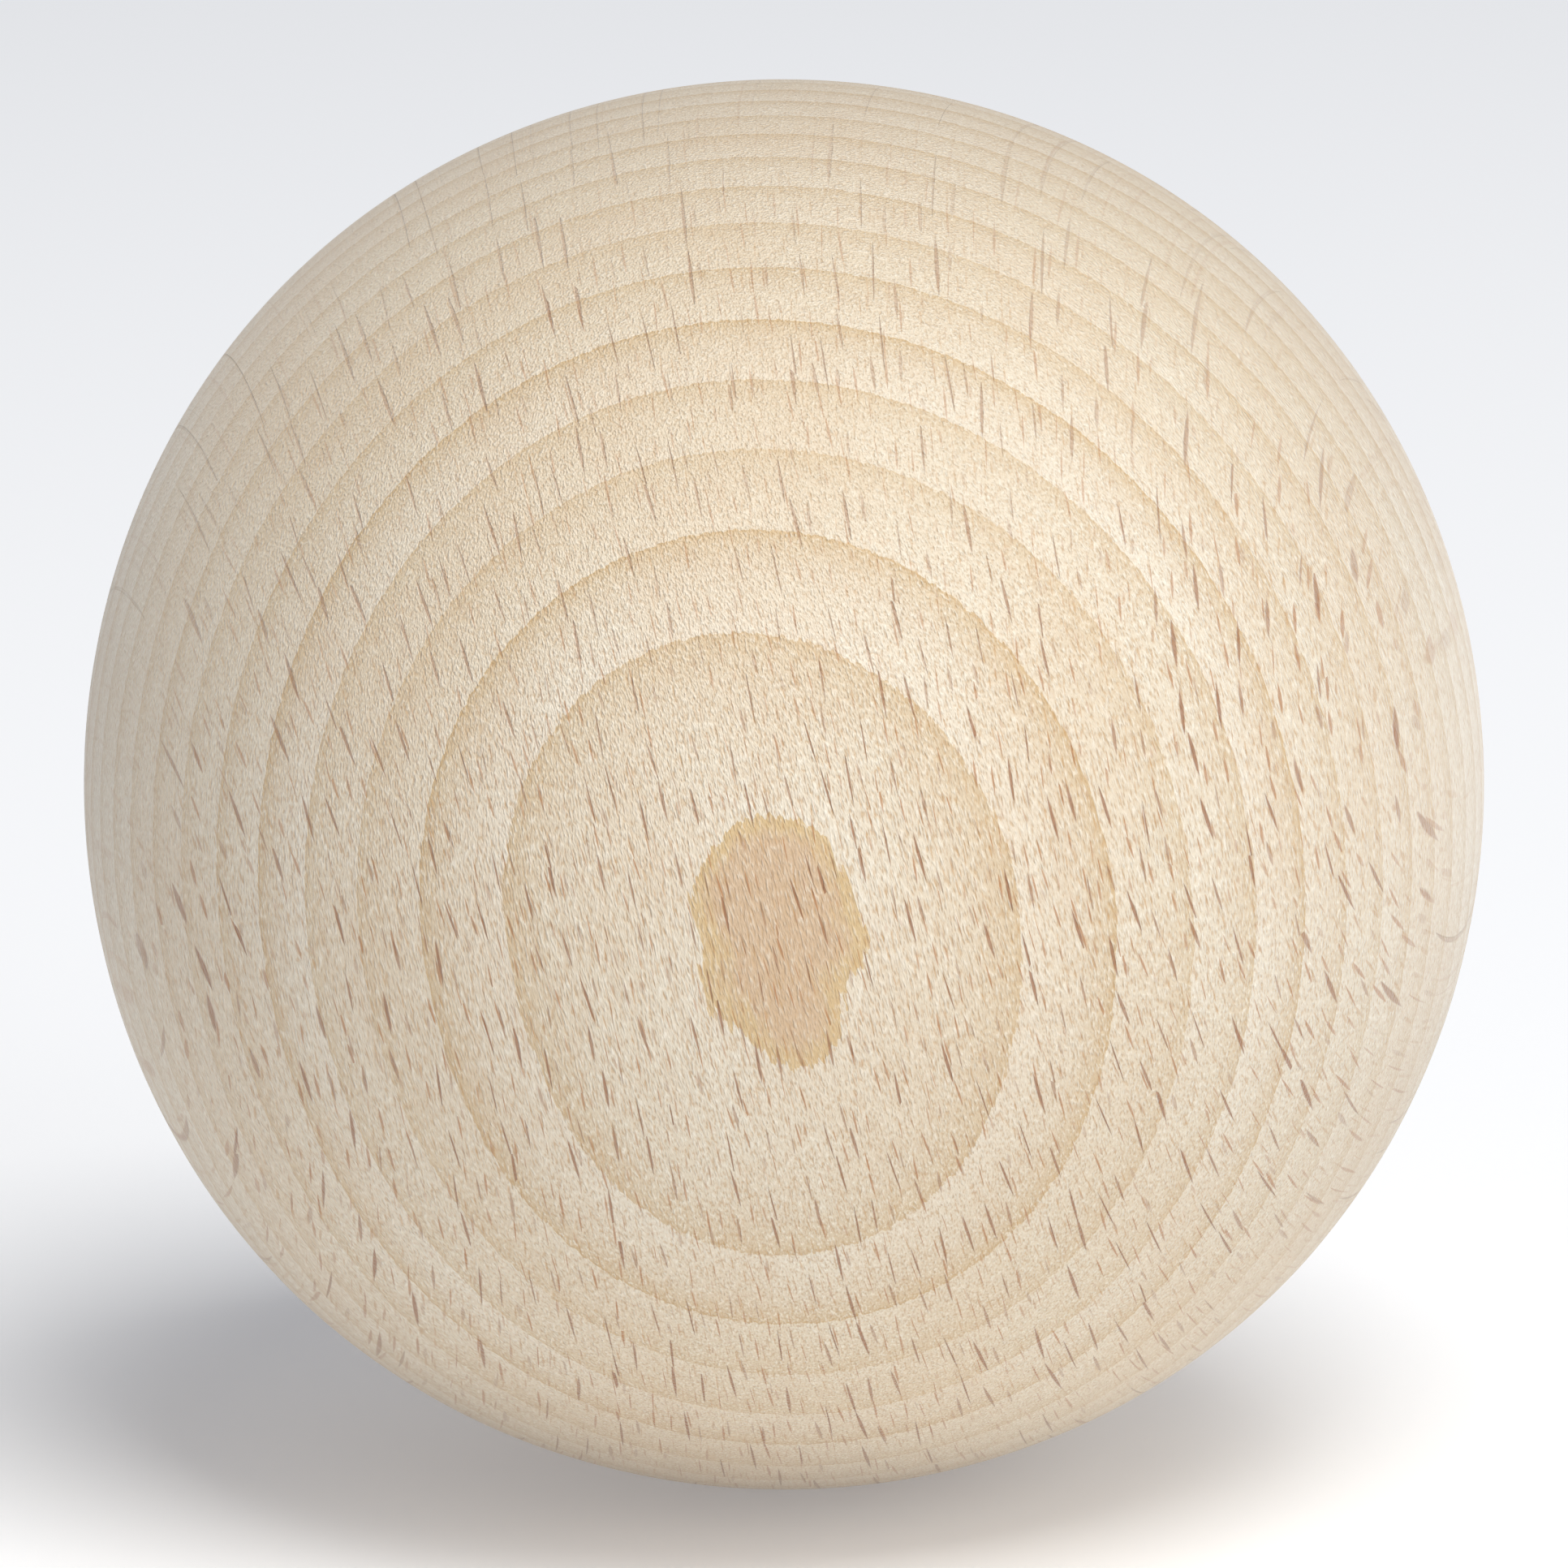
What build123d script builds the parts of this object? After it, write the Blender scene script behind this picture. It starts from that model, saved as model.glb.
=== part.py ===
from build123d import *
import math
import os

# A solid wooden ball, turned from one piece of beech and sanded.
#
# Sizes are in millimetres. The origin is the centre of the ball, and +Z is the axis it was turned
# on. A turned ball is never quite a sphere. The wood has shrunk more across the grain than along
# it, so the ball is a little taller than it is wide, and the sanding has left its shoulders,
# halfway between the poles and the equator, a little full.

# Driving dimensions
height = 50.0  # from pole to pole, along the turning axis
girth = 49.7  # diameter at the equator
shoulder_fullness = 0.17  # how far the shoulders stand out from an ellipse of this height and girth

# The outline is half a section, drawn through points at even angles from the lower pole to the upper
steps_to_pole = 6  # points on a quarter of the outline

pole = height / 2
equator = girth / 2


def reach(angle):
    """Distance from the centre to the surface, at an angle in radians above the equator."""
    ellipse = 1 / math.hypot(math.cos(angle) / equator, math.sin(angle) / pole)
    return ellipse + shoulder_fullness * math.sin(2 * angle) ** 2


def outline_point(step):
    """Point of the outline, counted in steps up from the equator; steps below it are negative."""
    angle = math.radians(90 * step / steps_to_pole)
    return (reach(angle) * math.cos(angle), reach(angle) * math.sin(angle))


between_poles = [outline_point(step) for step in range(1 - steps_to_pole, steps_to_pole)]

with BuildPart() as ball:
    with BuildSketch(Plane.XZ):
        with BuildLine():
            Spline(
                (0, -pole),
                *between_poles,
                (0, pole),
                tangents=((1, 0), (-1, 0)),
                tangent_scalars=(1, 1),
            )
            Line((0, pole), (0, -pole))
        make_face()
    revolve(axis=Axis.Z)

ball.part.label = "ball"

os.makedirs("parts", exist_ok=True)
export_step(ball.part, "parts/ball.step")

size = ball.part.bounding_box().size
print(f"ball {size.X:.2f} x {size.Y:.2f} x {size.Z:.2f} mm, {ball.part.volume / 1000:.2f} cubic cm")
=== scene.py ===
import math

import bpy
import numpy as np
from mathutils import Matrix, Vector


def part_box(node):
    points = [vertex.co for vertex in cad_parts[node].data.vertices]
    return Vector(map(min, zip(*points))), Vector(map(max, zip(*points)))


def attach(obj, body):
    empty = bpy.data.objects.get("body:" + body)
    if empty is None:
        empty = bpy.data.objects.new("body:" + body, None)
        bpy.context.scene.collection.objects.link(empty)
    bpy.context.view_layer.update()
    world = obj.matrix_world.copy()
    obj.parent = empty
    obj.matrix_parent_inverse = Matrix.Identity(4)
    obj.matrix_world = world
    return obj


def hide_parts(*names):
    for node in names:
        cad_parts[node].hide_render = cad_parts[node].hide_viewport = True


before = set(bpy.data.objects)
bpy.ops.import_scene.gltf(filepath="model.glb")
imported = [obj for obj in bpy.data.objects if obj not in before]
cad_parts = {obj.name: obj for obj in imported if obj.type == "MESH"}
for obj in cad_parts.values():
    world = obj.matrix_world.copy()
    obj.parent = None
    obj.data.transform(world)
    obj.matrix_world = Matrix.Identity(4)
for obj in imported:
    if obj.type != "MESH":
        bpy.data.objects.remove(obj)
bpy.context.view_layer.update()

# ---------------------------------------------------------------------------------------------
# The ball. One solid piece of beech, turned between centres from a flat-sawn blank, sanded and
# left bare. Its face towards -Y is tangential, so the growth rings close there round one small
# island of darker late wood, and the top and bottom are end grain.

MM = 0.001
low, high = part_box("ball")
height = (high.z - low.z) / MM
girth = 2 * min(high.x, -low.x, high.y, -low.y) / MM
radius = height / 2
shoulder_fullness = 0.17  # mm the shoulders stand out from an ellipse of that height and girth
cells_per_side = 128  # of the grid that covers each sixth of the ball

# The tree. Its pith ran in front of the ball, leaning with the grain, and the rings are
# cylinders round it. Distances in the wood are in mm: across the grain, along it, and depth
# outward from the ring that just touches the front of the ball.
pith_distance = 91.4
grain_lean = math.radians(13.7)
front_ring_radius = pith_distance - radius

# The rings, by depth. They lie a little askew to the pith and twist along it.
island_edge = 0.23  # mm deep
ring_pitch = 1.927  # mm from one ring edge to the next
lift_along = 0.020  # mm of depth for each mm along the grain
lift_across = 0.017  # mm of depth for each mm across it
twist = -0.0015  # mm of depth for each mm both ways
good_years_gain = 0.087  # rings by which wide and narrow years put an edge out of step
good_years_middle = 4.5  # mm deep
good_years_cycle = 16.5  # mm from one run of wide years to the next

# How far the ring edges wander in lobes about the island: how many lobes, mm, degrees turned
island_lobes = [(1, 0.075, 72), (2, 0.083, 81), (4, 0.032, 0), (5, 0.022, -85)]
first_ring_lobes = [(1, -0.28, 0), (2, -0.19, 0), (3, 0.10, 10)]
outer_ring_lobes = [(1, 0.05, 0), (3, 0.09, 8)]
island_shrink = 0.13  # mm of depth taken from the island all round
island_middle = (-0.3, -0.5)  # mm across and along
island_reach = (4.5, 7.5)  # mm from its middle over which its own lobes fade out
outer_reach = (11, 16)  # mm from its middle over which the outer rings' lobes fade in

# Sanding cuts the soft early wood a little deeper than the hard late wood that ends each ring
early_wood_dip = 0.008  # mm


def smooth_step(value, start, end):
    """0 before start, 1 after end, and smooth between."""
    part = np.clip((value - start) / (end - start), 0, 1)
    return part * part * (3 - 2 * part)


def ball_directions(cells):
    """Directions spread evenly over a ball, as a cube's grid swelled out, and their quads."""
    tangents = np.tan(np.linspace(-math.pi / 4, math.pi / 4, cells + 1))
    u, v = np.meshgrid(tangents, tangents, indexing="ij")
    one = np.ones_like(u)
    corner = np.arange((cells + 1) ** 2).reshape(cells + 1, cells + 1)
    quads = [corner[:-1, :-1], corner[1:, :-1], corner[1:, 1:], corner[:-1, 1:]]
    quads = np.stack(quads, -1).reshape(-1, 4)
    points, faces = [], []
    for axis in range(3):
        for side in (-1, 1):
            side_points = np.stack([side * one, u, v], -1).reshape(-1, 3)
            faces.append((quads if side > 0 else quads[:, ::-1]) + corner.size * len(points))
            points.append(np.roll(side_points, axis, axis=1))
    points = np.concatenate(points)
    points /= np.linalg.norm(points, axis=1, keepdims=True)
    _, first, merged = np.unique(
        np.round(points, 6), axis=0, return_index=True, return_inverse=True
    )
    return points[first], merged.reshape(-1)[np.concatenate(faces)]


def turned_reach(direction):
    """Distance in mm from the centre to the turned surface."""
    upwards = direction[:, 2]
    outwards = np.hypot(direction[:, 0], direction[:, 1])
    ellipse = 1 / np.hypot(outwards / (girth / 2), upwards / (height / 2))
    return ellipse + shoulder_fullness * (2 * upwards * outwards) ** 2


def wood_places(point):
    """Across, along and depth, in mm, for points in mm."""
    flat = point[:, 0] * math.cos(grain_lean) + point[:, 2] * math.sin(grain_lean)
    along = -point[:, 0] * math.sin(grain_lean) + point[:, 2] * math.cos(grain_lean)
    away = point[:, 1] + pith_distance
    across = np.arctan2(flat, away) * front_ring_radius
    depth = np.hypot(flat, away) - front_ring_radius
    return across, along, depth


def lobed(turn, lobes):
    return sum(size * np.cos(count * (turn - math.radians(start))) for count, size, start in lobes)


def ring_count(across, along, depth):
    """Number of growth rings crossed since the island's edge. Whole numbers are ring edges."""
    side, end = across - island_middle[0], along - island_middle[1]
    turn, distance = np.arctan2(end, side), np.hypot(side, end)
    near = 1 - smooth_step(distance, *island_reach)
    far = smooth_step(distance, *outer_reach)
    wander = near * (lobed(turn, island_lobes) - island_shrink)
    wander += (1 - near) * (1 - far) * lobed(turn, first_ring_lobes)
    wander += far * lobed(turn, outer_ring_lobes)
    level = depth + lift_along * along + lift_across * across + twist * across * along - wander
    out_of_step = np.sin(2 * math.pi * (level - good_years_middle) / good_years_cycle)
    return (level - island_edge) / ring_pitch + good_years_gain * out_of_step


directions, quads = ball_directions(cells_per_side)
turned = directions * turned_reach(directions)[:, None]
across, along, depth = wood_places(directions * radius)
rings = ring_count(across, along, depth)
ring_share = rings - np.floor(rings)
hardness = smooth_step(ring_share, 0.1, 0.9) * (1 - smooth_step(ring_share, 0.93, 1.0))
surface = turned - directions * (early_wood_dip * (1 - hardness))[:, None]

mesh = bpy.data.meshes.new("turned_ball")
mesh.from_pydata((surface * MM).tolist(), [], quads.tolist())
mesh.update()
mesh.shade_smooth()
ball = bpy.data.objects.new("turned_ball", mesh)
bpy.context.scene.collection.objects.link(ball)

places = mesh.attributes.new("wood_mm", "FLOAT_VECTOR", "POINT")
places.data.foreach_set("vector", np.stack([across, along, depth], -1).astype(np.float32).ravel())
growth = mesh.attributes.new("ring_count", "FLOAT", "POINT")
growth.data.foreach_set("value", rings.astype(np.float32))

# Sanded beech, unsealed: a pale cream wood with pinkish late wood, brown ray flecks that stand
# along the grain, and a dry fibrous surface that scatters light and hardly shines.
beech = bpy.data.materials.new("sanded beech")
beech.use_nodes = True
tree = beech.node_tree
tree.nodes.clear()


def linear(hex_colour):
    """sRGB hex to a linear colour with alpha."""
    parts = [int(hex_colour[i : i + 2], 16) / 255 for i in (0, 2, 4)]
    return [p / 12.92 if p <= 0.04045 else ((p + 0.055) / 1.055) ** 2.4 for p in parts] + [1.0]


def add(kind, inputs, output=0, **settings):
    """Add a node with its settings, its inputs set or linked, and give back one output."""
    made = tree.nodes.new(kind)
    for name, value in settings.items():
        setattr(made, name, value)
    for socket, value in inputs.items():
        if isinstance(value, bpy.types.NodeSocket):
            tree.links.new(value, made.inputs[socket])
        else:
            made.inputs[socket].default_value = value
    return made.outputs[output]


# A Map Range node's inputs are the value, where it starts and ends, and what those become
eased = {"interpolation_type": "SMOOTHSTEP"}
wood_mm = add("ShaderNodeAttribute", {}, "Vector", attribute_name="wood_mm")
ring_number = add("ShaderNodeAttribute", {}, "Fac", attribute_name="ring_count")
along_grain = add("ShaderNodeSeparateXYZ", {0: wood_mm}, "Y")
normal = add("ShaderNodeNewGeometry", {}, "Normal")


def fibre_pattern(width, length, detail):
    """Noise drawn out along the grain, in cells of this width and length in mm."""
    cell = {0: wood_mm, 1: (1 / width, 1 / length, 1 / width)}
    scaled = add("ShaderNodeVectorMath", cell, operation="MULTIPLY")
    inputs = {"Vector": scaled, "Scale": 1.0, "Detail": detail, "Roughness": 0.5}
    return add("ShaderNodeTexNoise", inputs, "Fac")


# Fibres in four sizes. Single ones are a fiftieth of a mm across, too fine to show, so the
# finest pattern is drawn at 0.07 mm.
hair = fibre_pattern(0.07, 0.32, 1.0)
strand = fibre_pattern(0.20, 1.5, 2.0)
bundle = fibre_pattern(0.6, 7.0, 2.0)
cloud = fibre_pattern(5.0, 12.0, 1.0)

# Growth rings. The edge of each is ragged along the grain, where fibres lie over it, and some
# years' late wood is paler than others'. Stops are the share of the ring's width and the colour.
ragged_edge = add("ShaderNodeMath", {0: strand, 1: 0.10, 2: -0.05}, operation="MULTIPLY_ADD")
ring_place = add("ShaderNodeMath", {0: ring_number, 1: ragged_edge}, operation="ADD")
ring_part = add("ShaderNodeMath", {0: ring_place}, operation="FRACT")
ring_index = add("ShaderNodeMath", {0: ring_place}, operation="FLOOR")
ring_colour = add("ShaderNodeValToRGB", {"Fac": ring_part})
ring_stops = [
    (0.00, "eee1cb"),
    (0.25, "ebddc5"),
    (0.60, "e6d6bc"),
    (0.85, "dec9a8"),
    (0.95, "d8bf98"),
    (0.985, "cfb081"),
    (1.00, "d6ba8e"),
]
stops = ring_colour.node.color_ramp.elements
for place, tint in ring_stops:
    stop = stops[0] if place == 0.0 else stops[-1] if place == 1.0 else stops.new(place)
    stop.color = linear(tint)
year = add("ShaderNodeTexWhiteNoise", {"W": ring_index}, noise_dimensions="1D")
pale_year = add("ShaderNodeMapRange", {0: year, 1: 0.0, 2: 1.0, 3: 0.0, 4: 0.45}, **eased)

# The island is the next ring's late wood, golden at its rim and pinkish inside
island = add("ShaderNodeMath", {0: ring_place, 1: 0.0}, operation="LESS_THAN")
island_rim = add("ShaderNodeMath", {0: island, 1: 0.75}, operation="MULTIPLY")
inside = {0: ring_place, 1: -0.02, 2: -0.08, 3: 0.0, 4: 0.85}
island_inside = add("ShaderNodeMapRange", inside, **eased)

# End grain, where fibres are cut across at the top and bottom, is a shade deeper
grain_axis = (-math.sin(grain_lean), 0.0, math.cos(grain_lean))
end_on = add("ShaderNodeVectorMath", {0: normal, 1: grain_axis}, "Value", operation="DOT_PRODUCT")
end_on = add("ShaderNodeMath", {0: end_on}, operation="ABSOLUTE")
end_grain = add("ShaderNodeMapRange", {0: end_on, 1: 0.30, 2: 0.80, 3: 0.0, 4: 0.18}, **eased)

# The raised dry fibres get a painted highlight on their tips and painted shade in the gaps between
# them, less on the island and less high up, where the high softbox shines square onto the surface
fibre_light_height = {0: along_grain, 1: 4.0, 2: 13.0, 3: 1.0, 4: 0.7}
painted_fibre_light = add("ShaderNodeMapRange", fibre_light_height, **eased)
painted_fibre_light = add("ShaderNodeMath", {0: island, 1: -0.40, 2: painted_fibre_light}, operation="MULTIPLY_ADD")
painted_fibre_highlight = add("ShaderNodeMapRange", {0: hair, 1: 0.52, 2: 0.72, 3: 0.0, 4: 0.62}, **eased)
painted_fibre_highlight = add("ShaderNodeMath", {0: painted_fibre_light, 1: painted_fibre_highlight}, operation="MULTIPLY")
painted_fibre_shade = add("ShaderNodeMapRange", {0: hair, 1: 0.48, 2: 0.28, 3: 0.0, 4: 0.55}, **eased)
painted_fibre_shade = add("ShaderNodeMath", {0: painted_fibre_light, 1: painted_fibre_shade}, operation="MULTIPLY")
dark_strands = add("ShaderNodeMapRange", {0: strand, 1: 0.5, 2: 0.3, 3: 0.0, 4: 0.15}, **eased)
dark_bundles = add("ShaderNodeMapRange", {0: bundle, 1: 0.5, 2: 0.3, 3: 0.0, 4: 0.08}, **eased)
warm_clouds = add("ShaderNodeMapRange", {0: cloud, 1: 0.4, 2: 0.65, 3: 0.0, 4: 0.12}, **eased)


def ray_layer(column, row, tall, thick, drift):
    """Ray flecks: upright spindles, one to a cell of this column and row size in mm.
    Returns how much of a ray is at each point, from 0 to 1."""
    cells = {0: wood_mm, 1: (1 / column, 1 / row, 0), 2: (drift, drift * 0.7, 0)}
    cell = add("ShaderNodeVectorMath", cells, operation="MULTIPLY_ADD")
    seeds = add("ShaderNodeTexVoronoi", {"Vector": cell, "Scale": 1.0}, voronoi_dimensions="2D")
    seeds = seeds.node.outputs
    offset = add("ShaderNodeVectorMath", {0: cell, 1: seeds["Position"]}, operation="SUBTRACT")
    steps = add("ShaderNodeSeparateXYZ", {0: offset}).node.outputs
    chance = add("ShaderNodeSeparateColor", {0: seeds["Color"]}).node.outputs
    heights = {0: chance[0], 1: 0.0, 2: 1.0, 3: tall * 0.16, 4: tall * 0.5}
    half_height = add("ShaderNodeMapRange", heights, **eased)
    widths = {0: chance[1], 1: 0.0, 2: 1.0, 3: thick * 0.2, 4: thick * 0.5}
    half_width = add("ShaderNodeMapRange", widths, **eased)
    climb = add("ShaderNodeMath", {0: steps[1], 1: row}, operation="MULTIPLY")
    upward = add("ShaderNodeMath", {0: climb, 1: half_height}, operation="DIVIDE")
    lean = add("ShaderNodeMath", {0: chance[2], 1: 0.5}, operation="SUBTRACT")
    lean = add("ShaderNodeMath", {0: lean, 1: 0.16}, operation="MULTIPLY")
    leaning = add("ShaderNodeMath", {0: climb, 1: lean}, operation="MULTIPLY")
    sideways = {0: steps[0], 1: column, 2: leaning}
    sideways = add("ShaderNodeMath", sideways, operation="MULTIPLY_ADD")
    sideways = add("ShaderNodeMath", {0: sideways}, operation="ABSOLUTE")
    sideways = add("ShaderNodeMath", {0: sideways, 1: half_width}, operation="DIVIDE")
    swell = add("ShaderNodeMath", {0: upward, 1: upward}, operation="MULTIPLY")
    swell = add("ShaderNodeMath", {0: 1.0, 1: swell}, operation="SUBTRACT")
    body = add("ShaderNodeMath", {0: swell, 1: sideways}, operation="SUBTRACT")
    body = add("ShaderNodeMapRange", {0: body, 1: 0.0, 2: 0.5, 3: 0.0, 4: 1.0}, **eased)
    depths = {0: chance[0], 1: 0.0, 2: 0.9, 3: 0.35, 4: 1.0}
    darkness = add("ShaderNodeMapRange", depths, **eased)
    return add("ShaderNodeMath", {0: body, 1: darkness}, operation="MULTIPLY")


# A ray is a thin upright ribbon that runs out from the pith. It shows dark where it is cut
# across, on the face and the back, and pales where the surface turns along it and high up.
broad_rays = ray_layer(0.85, 1.9, 1.9, 0.14, 0.0)
middle_rays = ray_layer(0.50, 1.3, 1.2, 0.10, 7.3)
fine_rays = ray_layer(0.27, 0.8, 0.7, 0.08, 3.9)
face_on = {0: normal, 1: (0.0, 1.0, 0.0)}
face_on = add("ShaderNodeVectorMath", face_on, "Value", operation="DOT_PRODUCT")
face_on = add("ShaderNodeMath", {0: face_on}, operation="ABSOLUTE")
cut_across = add("ShaderNodeMapRange", {0: face_on, 1: 0.15, 2: 0.65, 3: 0.25, 4: 1.0}, **eased)
ray_height = {0: along_grain, 1: 2.0, 2: 14.0, 3: 1.0, 4: 0.65}
ray_height = add("ShaderNodeMapRange", ray_height, **eased)
cut_across = add("ShaderNodeMath", {0: cut_across, 1: ray_height}, operation="MULTIPLY")

# Every tint, in the order that it lies over the last: how much of it there is, and its colour
tints = [
    (pale_year, "e5d5b9"),
    (island_rim, "dec08c"),
    (island_inside, "d6b795"),
    (end_grain, "d8b985"),
    # painted highlight on the fibre tips, then painted shade in the gaps between them
    (painted_fibre_highlight, "fff6e4"),
    (painted_fibre_shade, "c49a62"),
    (dark_strands, "cba981"),
    (dark_bundles, "d0aa7c"),
    (warm_clouds, "dcb88a"),
]
for rays, strength, tint in [
    (fine_rays, 0.45, "be8636"),
    (middle_rays, 0.70, "ae6a20"),
    (broad_rays, 0.80, "965618"),
]:
    shown = add("ShaderNodeMath", {0: rays, 1: cut_across}, operation="MULTIPLY")
    shown = add("ShaderNodeMath", {0: shown, 1: strength}, operation="MULTIPLY")
    tints.append((shown, tint))
colour = ring_colour
for amount, tint in tints:
    mixed = {0: amount, 6: colour, 7: linear(tint)}
    colour = add("ShaderNodeMix", mixed, 2, data_type="RGBA", blend_type="MIX")

# Relief, in mm: fibres stand up by less than a tenth, and broad rays lie a little below them
relief = add("ShaderNodeMath", {0: hair, 1: 0.085}, operation="MULTIPLY")
relief = add("ShaderNodeMath", {0: strand, 1: 0.030, 2: relief}, operation="MULTIPLY_ADD")
relief = add("ShaderNodeMath", {0: broad_rays, 1: -0.020, 2: relief}, operation="MULTIPLY_ADD")
relief = add("ShaderNodeMath", {0: relief, 1: MM}, operation="MULTIPLY")
bump = add("ShaderNodeBump", {"Height": relief, "Distance": 1.0, "Strength": 1.0})
roughness = add("ShaderNodeMapRange", {0: hair, 1: 0.3, 2: 0.7, 3: 0.42, 4: 0.56}, **eased)

finish = {"Base Color": colour, "Roughness": roughness, "Normal": bump}
sanded = add("ShaderNodeBsdfPrincipled", finish)
sanded.node.inputs["IOR"].default_value = 1.5
sanded.node.inputs["Specular IOR Level"].default_value = 0.8
sanded.node.inputs["Sheen Weight"].default_value = 0.42
sanded.node.inputs["Sheen Roughness"].default_value = 0.5
add_output = tree.nodes.new("ShaderNodeOutputMaterial")
tree.links.new(sanded, add_output.inputs["Surface"])
mesh.materials.append(beech)

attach(ball, "root")
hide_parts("ball")

# ---------------------------------------------------------------------------------------------
# Floor: a plain white table top of opal acrylic, lit a little from within, so that it throws
# light up under the ball and keeps its shadow soft.

floor_reach = 3.0
floor_corners = [(-1, -1), (1, -1), (1, 1), (-1, 1)]
floor_mesh = bpy.data.meshes.new("table_top")
floor_mesh.from_pydata(
    [(floor_reach * x, floor_reach * y, low.z) for x, y in floor_corners], [], [(0, 1, 2, 3)]
)
table_top = bpy.data.objects.new("table_top", floor_mesh)
bpy.context.scene.collection.objects.link(table_top)
opal = bpy.data.materials.new("opal acrylic")
opal.use_nodes = True
opal_shader = opal.node_tree.nodes["Principled BSDF"]
opal_shader.inputs["Base Color"].default_value = linear("f0efec")
opal_shader.inputs["Roughness"].default_value = 0.8
opal_shader.inputs["Emission Color"].default_value = linear("eef3ff")
opal_shader.inputs["Emission Strength"].default_value = 0.20
floor_mesh.materials.append(opal)

# ---------------------------------------------------------------------------------------------
# Light: a large softbox high on the right in front, a weaker one lower on the same side to
# open the shadows, and a white room.

softbox_distance = 1.2
softbox_size = 0.7


def softbox(name, azimuth, elevation, watts):
    """A square light at this bearing from the ball, aimed at it. Azimuth 0 is the front."""
    turn, lift = math.radians(azimuth), math.radians(elevation)
    away = (math.sin(turn) * math.cos(lift), -math.cos(turn) * math.cos(lift), math.sin(lift))
    lamp = bpy.data.lights.new(name, "AREA")
    lamp.shape = "SQUARE"
    lamp.size = softbox_size
    lamp.energy = watts
    lamp.color = (1.0, 1.0, 1.0)
    stand = bpy.data.objects.new(name, lamp)
    stand.location = [softbox_distance * part for part in away]
    stand.rotation_euler = (math.pi / 2 - lift, 0, turn)
    bpy.context.scene.collection.objects.link(stand)


softbox("high_softbox", 30, 65, 11.8)
softbox("right_softbox", 40, 28, 3.1)

room = bpy.data.worlds.new("white_room")
room.use_nodes = True
room.node_tree.nodes["Background"].inputs["Color"].default_value = linear("eef3ff")
room.node_tree.nodes["Background"].inputs["Strength"].default_value = 0.26
bpy.context.scene.world = room
bpy.context.scene.view_settings.view_transform = "Standard"

# ---------------------------------------------------------------------------------------------
# Camera: a long lens a little above the ball, square to its front.

camera_distance = 16 * radius * MM
camera_lift = math.radians(12)
frame_share = 0.8986  # of the frame's width that the ball fills
sensor = 36.0

lens = bpy.data.cameras.new("long_lens")
lens.sensor_width = sensor
ball_spread = math.tan(math.asin(radius * MM / camera_distance))
lens.lens = sensor / 2 * frame_share / ball_spread
camera = bpy.data.objects.new("camera", lens)
camera.location = (
    0,
    -camera_distance * math.cos(camera_lift),
    camera_distance * math.sin(camera_lift),
)
camera.rotation_euler = (math.pi / 2 - camera_lift, 0, 0)
bpy.context.scene.collection.objects.link(camera)
bpy.context.scene.camera = camera
